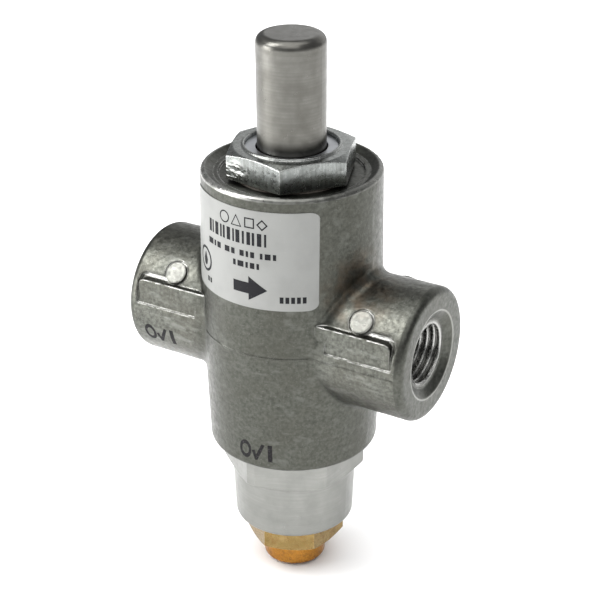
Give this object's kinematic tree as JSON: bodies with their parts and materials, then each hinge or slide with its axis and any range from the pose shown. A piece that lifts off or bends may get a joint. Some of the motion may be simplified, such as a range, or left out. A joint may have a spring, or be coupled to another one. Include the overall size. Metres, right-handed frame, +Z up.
{
  "type": "gas valve",
  "caption": "Inline thermoelectric safety gas valve: cast body with two threaded ports, spring-return reset button on top, magnet unit and brass thermocouple fitting below.",
  "frame": {"origin": "on the ports' axis at the first thread of the inlet port", "axes": "+Z up along the stem and button, +X from the inlet port to the outlet port"},
  "size_m": [0.0605, 0.035, 0.1115],
  "materials": {
    "cast_body": "dull die-cast, mottled",
    "plated_steel": "bright zinc plate, tool-marked",
    "washer_steel": "satin",
    "gasket_fibre": "dense fibre",
    "black_rubber": "matt",
    "brass": "turned",
    "soft_iron": "ground",
    "copper_wire": "bare copper",
    "housing_aluminium": "satin turned",
    "insulator": "moulded",
    "contact_metal": "solder",
    "label_film": "matt printed film",
    "button_aluminium": "fine turned satin",
    "stem_steel": "ground",
    "spring_steel": "drawn wire"
  },
  "bodies": {
    "valve": {"valve_body": "cast_body", "bonnet_nut": "plated_steel", "guide_washer": "washer_steel", "bonnet_gasket": "gasket_fibre", "stem_o_ring": "black_rubber", "magnet_base": "brass", "magnet_core": "soft_iron", "magnet_coil": "copper_wire", "coil_lead": "copper_wire", "magnet_cap": "brass", "magnet_housing": "housing_aluminium", "housing_gasket": "gasket_fibre", "thermocouple_fitting": "brass", "contact_insulator": "insulator", "terminal_contact": "contact_metal", "label": "label_film"},
    "plunger": {"reset_button": "button_aluminium", "reset_stem": "stem_steel", "stem_clip": "spring_steel", "button_spring": "spring_steel"},
    "poppet": {"poppet_facing": "black_rubber", "poppet_disc": "brass", "armature_rod": "stem_steel", "armature": "soft_iron", "poppet_spring": "spring_steel"}
  },
  "joints": [
    {"name": "button_press", "type": "slide", "parent": "valve", "child": "plunger", "axis": [0, 0, -1], "range_m": [0, 0.006], "stiffness_N_per_m": 450, "springref_m": -0.004, "deforming": ["button_spring"]},
    {"name": "poppet_lift", "type": "slide", "parent": "valve", "child": "poppet", "axis": [0, 0, -1], "range_m": [0, 0.003], "stiffness_N_per_m": 350, "springref_m": -0.004, "deforming": ["poppet_spring"]}
  ],
  "couplings": [
    {"joint": "poppet_lift", "follows": "button_press", "ratio": 0.5}
  ]
}
